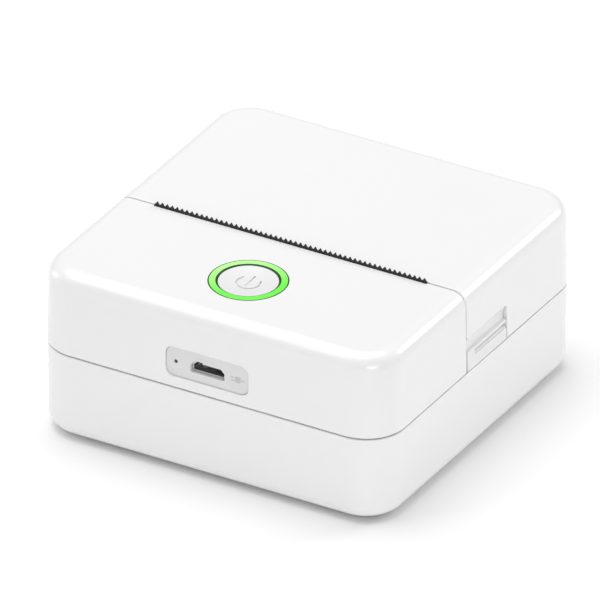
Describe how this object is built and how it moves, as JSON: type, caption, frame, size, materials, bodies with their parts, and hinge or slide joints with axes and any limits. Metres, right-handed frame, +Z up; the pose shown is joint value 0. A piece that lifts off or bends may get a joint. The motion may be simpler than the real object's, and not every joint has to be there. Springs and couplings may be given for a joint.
{
  "type": "thermal label printer",
  "caption": "Square pocket thermal label printer: case in two halves, hinged rear lid over the paper tub, tear bar, lit power button and USB port.",
  "frame": {"origin": "on the surface that the feet stand on, under the middle of the case", "axes": "+Z up; +X to the right of the front face; +Y towards the back, where the lid is hinged"},
  "size_m": [0.08, 0.08, 0.0387],
  "materials": {
    "case_white": "satin gloss moulded plastic",
    "latch_white": "satin gloss moulded plastic",
    "button_white": "satin moulded plastic",
    "light_green": "translucent light guide, lit green",
    "lamp_white": "small surface-mounted lamps",
    "panel_grey": "fine matt moulded plastic",
    "lens_dark": "smoked lens",
    "black_blade": "black coated steel",
    "frame_grey": "glass-filled plastic, fine grain",
    "tub_white": "moulded plastic",
    "plated_steel": "nickel plated",
    "bright_steel": "ground steel",
    "motor_steel": "zinc plated can",
    "battery_film": "silver pouch film",
    "foam_grey": "foam tape",
    "board_green": "solder mask over glass fibre",
    "chip_black": "moulded epoxy",
    "ribbon_amber": "polyimide film",
    "foot_rubber": "soft rubber",
    "platen_rubber": "ground rubber",
    "bush_black": "filled plastic bearing",
    "gear_white": "acetal",
    "pinion_brass": "machined",
    "sink_aluminium": "mill finish",
    "ceramic_white": "glazed ceramic"
  },
  "bodies": {
    "body": {"base_case": "case_white", "front_cover": "case_white", "light_ring": "light_green", "port_bezel": "panel_grey", "charge_lens": "lens_dark", "tear_bar": "black_blade", "chassis": "frame_grey", "chassis_screws": "plated_steel", "head_springs": "bright_steel", "head_pivot_pin": "bright_steel", "motor_case": "motor_steel", "motor_screws": "plated_steel", "gear_pins": "bright_steel", "battery": "battery_film", "battery_pad": "foam_grey", "main_board": "board_green", "board_chips": "chip_black", "board_screws": "plated_steel", "usb_socket": "plated_steel", "switch_board": "board_green", "button_switch": "chip_black", "ring_lamps": "lamp_white", "paper_tub": "tub_white", "paper_sensor": "chip_black", "head_ribbon": "ribbon_amber", "feet": "foot_rubber", "case_screws": "plated_steel"},
    "lid": {"rear_lid": "case_white", "lid_frame": "frame_grey", "lid_frame_screws": "plated_steel", "hinge_pins": "bright_steel", "platen_bushes": "bush_black", "latch_pin": "bright_steel"},
    "platen": {"platen_roller": "platen_rubber", "platen_shaft": "bright_steel", "platen_gear": "gear_white"},
    "idler": {"idler_gear": "gear_white"},
    "compound": {"compound_gear": "gear_white"},
    "motor_rotor": {"motor_shaft": "bright_steel", "motor_pinion": "pinion_brass"},
    "button": {"power_button": "button_white"},
    "latch": {"release_lever": "latch_white"},
    "print_head": {"head_sink": "sink_aluminium", "head_ceramic": "ceramic_white", "head_cap": "chip_black"}
  },
  "joints": [
    {"name": "lid_hinge", "type": "hinge", "parent": "body", "child": "lid", "pos_m": [0, 0.038, 0.0219], "axis": [-1, 0, 0], "range_deg": [0, 90]},
    {"name": "platen_spin", "type": "hinge", "parent": "lid", "child": "platen", "pos_m": [0, -0.00185, 0.0285], "axis": [1, 0, 0], "continuous": true},
    {"name": "idler_spin", "type": "hinge", "parent": "body", "child": "idler", "pos_m": [-0.0326, -0.00365, 0.01765], "axis": [1, 0, 0], "continuous": true},
    {"name": "compound_spin", "type": "hinge", "parent": "body", "child": "compound", "pos_m": [-0.0336, -0.01225, 0.01502], "axis": [1, 0, 0], "continuous": true},
    {"name": "motor_spin", "type": "hinge", "parent": "body", "child": "motor_rotor", "pos_m": [-0.0346, -0.02259, 0.01319], "axis": [1, 0, 0], "continuous": true},
    {"name": "button_press", "type": "slide", "parent": "body", "child": "button", "axis": [0, 0, -1], "range_m": [0, 0.0005], "stiffness_N_per_m": 800, "springref_m": -0.0003},
    {"name": "latch_swing", "type": "hinge", "parent": "lid", "child": "latch", "pos_m": [0.0362, 0.00165, 0.0288], "axis": [0, -1, 0], "range_deg": [0, 4], "stiffness_Nm_per_rad": 0.05, "springref_deg": -5.73},
    {"name": "head_tilt", "type": "hinge", "parent": "body", "child": "print_head", "pos_m": [0, -0.00845, 0.0214], "axis": [1, 0, 0], "range_deg": [0, 2], "stiffness_Nm_per_rad": 0.4, "springref_deg": -2.86}
  ],
  "couplings": [
    {"joint": "idler_spin", "follows": "platen_spin", "ratio": -0.83333},
    {"joint": "compound_spin", "follows": "platen_spin", "ratio": 1.6667},
    {"joint": "motor_spin", "follows": "platen_spin", "ratio": -4.1667}
  ]
}
